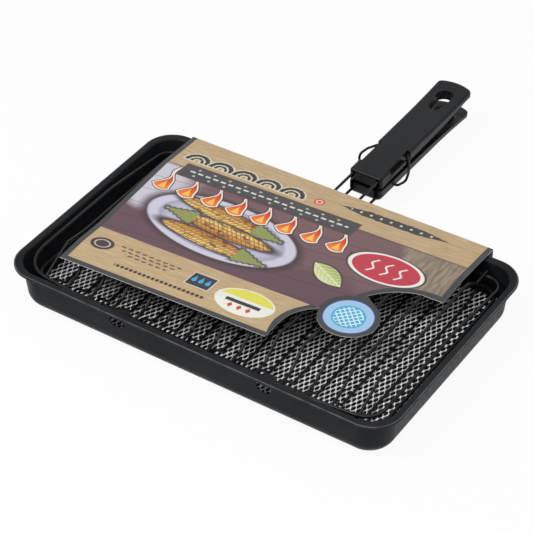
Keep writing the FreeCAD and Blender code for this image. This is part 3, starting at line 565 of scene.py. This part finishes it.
def make_mesh_sheet():
    """Expanded sheet: one ring of rounded strand round every opening, joined to its neighbours."""
    low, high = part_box("ceramic_mesh")
    half_x = (high.x - low.x) / 2 / MM - 0.3
    half_y = (high.y - low.y) / 2 / MM - 0.2
    middle = (high.z + low.z) / 2 / MM
    corner = 18.0
    rim = []
    hole = []
    for k in range(12):
        a = 2 * math.pi * k / 12
        ca = math.cos(a)
        sa = math.sin(a)
        r = 1.0 / (abs(ca) + abs(sa))
        rim.append((CELL_X / 2 * ca * r, CELL_Y / 2 * sa * r))
        q = (abs(ca) ** HOLE_ROUND + abs(sa) ** HOLE_ROUND) ** (-1.0 / HOLE_ROUND)
        hole.append((HOLE_X * ca * q, HOLE_Y * sa * q))
    rings = [(0.0, STRAND_HALF), (0.55, STRAND_HALF * 0.86), (1.0, 0.0), (0.55, -STRAND_HALF * 0.86),
             (0.0, -STRAND_HALF)]
    bm = bmesh.new()
    columns = int(half_x / (CELL_X / 2)) + 2
    rows = int(half_y / (CELL_Y / 2)) + 2
    for i in range(-columns, columns + 1):
        for j in range(-rows, rows + 1):
            if (i + j) % 2:
                continue
            cx = i * CELL_X / 2
            cy = j * CELL_Y / 2
            out_x = abs(cx) - (half_x - corner)
            out_y = abs(cy) - (half_y - corner)
            if out_x > 0 and out_y > 0 and math.hypot(out_x, out_y) > corner + 1.5:
                continue
            if cx < -half_x + LEFT_BARE:
                continue
            swell = 0.9 + 0.2 * hash01(i, j, 1)
            shift_x = 0.16 * (hash01(i, j, 2) - 0.5)
            shift_y = 0.26 * (hash01(i, j, 3) - 0.5)
            loops = []
            for share, lift in rings:
                loop = []
                for (rx, ry), (hx, hy) in zip(rim, hole):
                    px = rx + (hx * swell + shift_x - rx) * share
                    py = ry + (hy * swell + shift_y - ry) * share
                    gx = cx + px
                    gy = cy + py
                    dz = 0.05 * math.sin(gx * 0.11 + 1.3) * math.cos(gy * 0.09) - 0.02
                    loop.append(bm.verts.new((gx * MM, gy * MM, (middle + lift + dz) * MM)))
                loops.append(loop)
            for a, b in zip(loops, loops[1:]):
                for k in range(12):
                    n = (k + 1) % 12
                    bm.faces.new((a[k], a[n], b[n], b[k]))
    bmesh.ops.remove_doubles(bm, verts=bm.verts, dist=0.00004)
    cuts = [(1, 0, half_x), (-1, 0, half_x), (0, 1, half_y), (0, -1, half_y)]
    for nx, ny, reach in cuts:
        geometry = bm.verts[:] + bm.edges[:] + bm.faces[:]
        done = bmesh.ops.bisect_plane(bm, geom=geometry, plane_co=(nx * reach * MM, ny * reach * MM, 0),
                                      plane_no=(nx, ny, 0), clear_outer=True)
        edges = [e for e in done["geom_cut"] if isinstance(e, bmesh.types.BMEdge)]
        bmesh.ops.holes_fill(bm, edges=edges, sides=0)
    bmesh.ops.recalc_face_normals(bm, faces=bm.faces)
    mesh = bpy.data.meshes.new("ceramic_mesh_sheet")
    bm.to_mesh(mesh)
    bm.free()
    for polygon in mesh.polygons:
        polygon.use_smooth = True
    return mesh


new_piece("ceramic_mesh_sheet", make_mesh_sheet(), "tray", ceramic, ["ceramic_mesh"])


# ---------------------------------------------------------------- floor, world and lights
FLOOR_SIZE = 12.0

floor_mesh = bpy.data.meshes.new("floor")
bm = bmesh.new()
bmesh.ops.create_grid(bm, x_segments=2, y_segments=2, size=FLOOR_SIZE / 2)
bm.to_mesh(floor_mesh)
bm.free()
floor = bpy.data.objects.new("floor", floor_mesh)
floor.location = (0, 0, -0.0003)
scene.collection.objects.link(floor)


def make_floor_material():
    """Pale floor that keeps the shadow; seen straight it is close to white."""
    g = Graph("floor")
    path = g.nodes.new("ShaderNodeLightPath")
    seen = F(g, path.outputs["Is Camera Ray"])
    seen = seen.most(F(g, path.outputs["Is Glossy Ray"])).most(F(g, path.outputs["Is Transmission Ray"]))
    diffuse = g.nodes.new("ShaderNodeBsdfDiffuse")
    diffuse.inputs["Color"].default_value = (0.9, 0.9, 0.9, 1)
    light = g.nodes.new("ShaderNodeEmission")
    light.inputs["Color"].default_value = (1, 1, 1, 1)
    light.inputs["Strength"].default_value = 1.0
    mix = g.nodes.new("ShaderNodeMixShader")
    g.put(mix.inputs[0], seen * 0.93)
    g.put(mix.inputs[1], diffuse.outputs[0])
    g.put(mix.inputs[2], light.outputs[0])
    g.put(g.out.inputs["Surface"], mix.outputs[0])
    return g.material


floor_mesh.materials.append(make_floor_material())

WORLD_LIGHT = 0.3
world = bpy.data.worlds.new("studio")
scene.world = world
world.use_nodes = True
tree = world.node_tree
tree.nodes.clear()
world_out = tree.nodes.new("ShaderNodeOutputWorld")
fill = tree.nodes.new("ShaderNodeBackground")
fill.inputs["Color"].default_value = (0.96, 0.98, 1.0, 1)
fill.inputs["Strength"].default_value = WORLD_LIGHT
white = tree.nodes.new("ShaderNodeBackground")
white.inputs["Color"].default_value = (1, 1, 1, 1)
white.inputs["Strength"].default_value = 1.0
path = tree.nodes.new("ShaderNodeLightPath")
blend = tree.nodes.new("ShaderNodeMixShader")
clear = None
for kind in ("Is Camera Ray", "Is Glossy Ray", "Is Transmission Ray"):
    if clear is None:
        clear = path.outputs[kind]
        continue
    either = tree.nodes.new("ShaderNodeMath")
    either.operation = "MAXIMUM"
    tree.links.new(clear, either.inputs[0])
    tree.links.new(path.outputs[kind], either.inputs[1])
    clear = either.outputs[0]
tree.links.new(clear, blend.inputs[0])
tree.links.new(fill.outputs[0], blend.inputs[1])
tree.links.new(white.outputs[0], blend.inputs[2])
tree.links.new(blend.outputs[0], world_out.inputs["Surface"])


def area_light(name, place, aim, size, power, color=(1, 1, 1)):
    data = bpy.data.lights.new(name, "AREA")
    data.shape = "DISK"
    data.size = size
    data.energy = power
    data.color = color
    light = bpy.data.objects.new(name, data)
    light.location = place
    heading = Vector(aim) - Vector(place)
    light.rotation_euler = heading.to_track_quat("-Z", "Y").to_euler()
    scene.collection.objects.link(light)


area_light("key", (0.9, -0.6, 2.1), (0, 0, 0), 1.0, 12.0)
area_light("front", (-0.85, -1.3, 1.85), (0, 0, 0), 0.8, 27.0)
area_light("top", (-0.2, -0.2, 2.4), (0, 0, 0), 1.3, 8.0)
